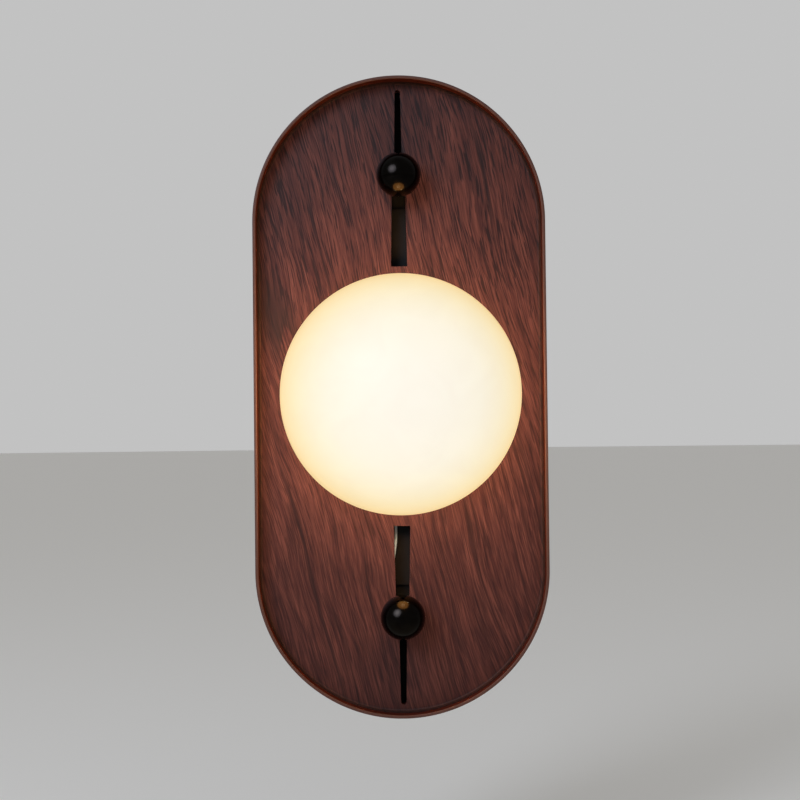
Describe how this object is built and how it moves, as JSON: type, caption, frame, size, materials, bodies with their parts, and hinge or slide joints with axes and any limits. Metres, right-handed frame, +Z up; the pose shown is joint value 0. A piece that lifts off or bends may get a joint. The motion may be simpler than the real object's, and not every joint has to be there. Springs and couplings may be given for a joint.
{
  "type": "alabaster wall sconce",
  "caption": "Pill-shaped walnut tray wall light with a hollow alabaster dome, two ball nuts over tapered slots and a small screw lamp inside.",
  "frame": {"origin": "on the wall plane, at the centre of the two wall screw slots", "axes": "+X to the right seen from the front, +Y into the wall, +Z up; the shade faces -Y"},
  "size_m": [0.188, 0.134, 0.412],
  "materials": {
    "board_walnut": "satin oiled walnut, straight grain with dark streaks",
    "hoop_walnut": "satin oiled walnut, bent lamination",
    "black_rubber": "matt",
    "black_steel": "matt black powder coat",
    "grey_steel": "grey zinc-coated steel",
    "zinc_screws": "zinc plated",
    "zinc_studs": "zinc plated",
    "spacer_aluminium": "turned",
    "fibre": "dark vulcanised fibre",
    "dark_bronze": "blackened bronze, polished",
    "white_enamel": "white enamel",
    "zinc_fittings": "zinc plated",
    "black_moulding": "moulded",
    "bare_brass": "bare brass",
    "alabaster": "polished alabaster, lit from inside",
    "collar_aluminium": "spun",
    "pin_steel": "ground",
    "silicone": "translucent white silicone",
    "lamp_solder": "tinned",
    "lamp_black_glass": "vitreous black",
    "lamp_nickel": "nickel plated",
    "lamp_moulding": "white moulding",
    "lamp_board": "white coated board",
    "opal_globe": "opal diffuser",
    "nylon": "natural nylon",
    "white_insulation": "white flexible insulation",
    "brown_insulation": "brown flexible insulation",
    "green_insulation": "green flexible insulation with a yellow stripe",
    "tinned_copper": "tinned"
  },
  "bodies": {
    "tray": {"tray_board": "board_walnut", "rim_hoop": "hoop_walnut", "wall_bumpers": "black_rubber", "stud_bar": "black_steel", "mounting_plate": "grey_steel", "plate_screws": "zinc_screws", "wire_grommet": "black_rubber", "upper_stud": "zinc_studs", "lower_stud": "zinc_studs", "stud_spacers": "spacer_aluminium", "fitter_plate": "white_enamel", "fitter_ring": "white_enamel", "fitter_screws": "zinc_screws", "threaded_nipple": "zinc_fittings", "nipple_nut": "zinc_fittings", "nipple_washer": "zinc_fittings", "holder_cap": "black_moulding", "holder_body": "black_moulding", "holder_shell": "bare_brass", "holder_contact": "bare_brass", "terminal_block": "nylon", "terminal_tubes": "bare_brass", "terminal_screws": "zinc_screws", "neutral_lead": "white_insulation", "live_lead": "brown_insulation", "earth_lead": "green_insulation", "earth_screw": "zinc_screws", "earth_tongue": "tinned_copper"},
    "shade": {"alabaster_dome": "alabaster", "dome_collar": "collar_aluminium", "bayonet_pins": "pin_steel", "dome_gasket": "silicone"},
    "lamp_seat": {"lamp_eyelet": "lamp_solder"},
    "lamp": {"lamp_insulator": "lamp_black_glass", "lamp_cap": "lamp_nickel", "lamp_body": "lamp_moulding", "led_disc": "lamp_board", "lamp_globe": "opal_globe"},
    "upper_seat": {"upper_washer": "fibre"},
    "upper_knob": {"upper_ball": "dark_bronze"},
    "lower_seat": {"lower_washer": "fibre"},
    "lower_knob": {"lower_ball": "dark_bronze"}
  },
  "joints": [
    {"name": "upper_ball_travel", "type": "slide", "parent": "tray", "child": "upper_seat", "axis": [0, -1, 0], "range_m": [0, 0.0101]},
    {"name": "upper_ball_turn", "type": "hinge", "parent": "upper_seat", "child": "upper_knob", "pos_m": [0, -0.0307, 0.1415], "axis": [0, -1, 0], "range_deg": [0, 3600]},
    {"name": "lower_ball_travel", "type": "slide", "parent": "tray", "child": "lower_seat", "axis": [0, -1, 0], "range_m": [0, 0.0101]},
    {"name": "lower_ball_turn", "type": "hinge", "parent": "lower_seat", "child": "lower_knob", "pos_m": [0, -0.0307, -0.1415], "axis": [0, -1, 0], "range_deg": [0, 3600]},
    {"name": "shade_twist", "type": "hinge", "parent": "tray", "child": "shade", "pos_m": [0, -0.059, 0], "axis": [0, -1, 0], "range_deg": [0, 25]},
    {"name": "lamp_travel", "type": "slide", "parent": "tray", "child": "lamp_seat", "axis": [0, -1, 0], "range_m": [0, 0.0128]},
    {"name": "lamp_turn", "type": "hinge", "parent": "lamp_seat", "child": "lamp", "pos_m": [0, -0.05, 0], "axis": [0, -1, 0], "range_deg": [0, 1620]}
  ],
  "couplings": [
    {"joint": "upper_ball_travel", "follows": "upper_ball_turn", "m_per_rad": 0.00015915},
    {"joint": "lower_ball_travel", "follows": "lower_ball_turn", "m_per_rad": 0.00015915},
    {"joint": "lamp_travel", "follows": "lamp_turn", "m_per_rad": 0.00044913}
  ]
}
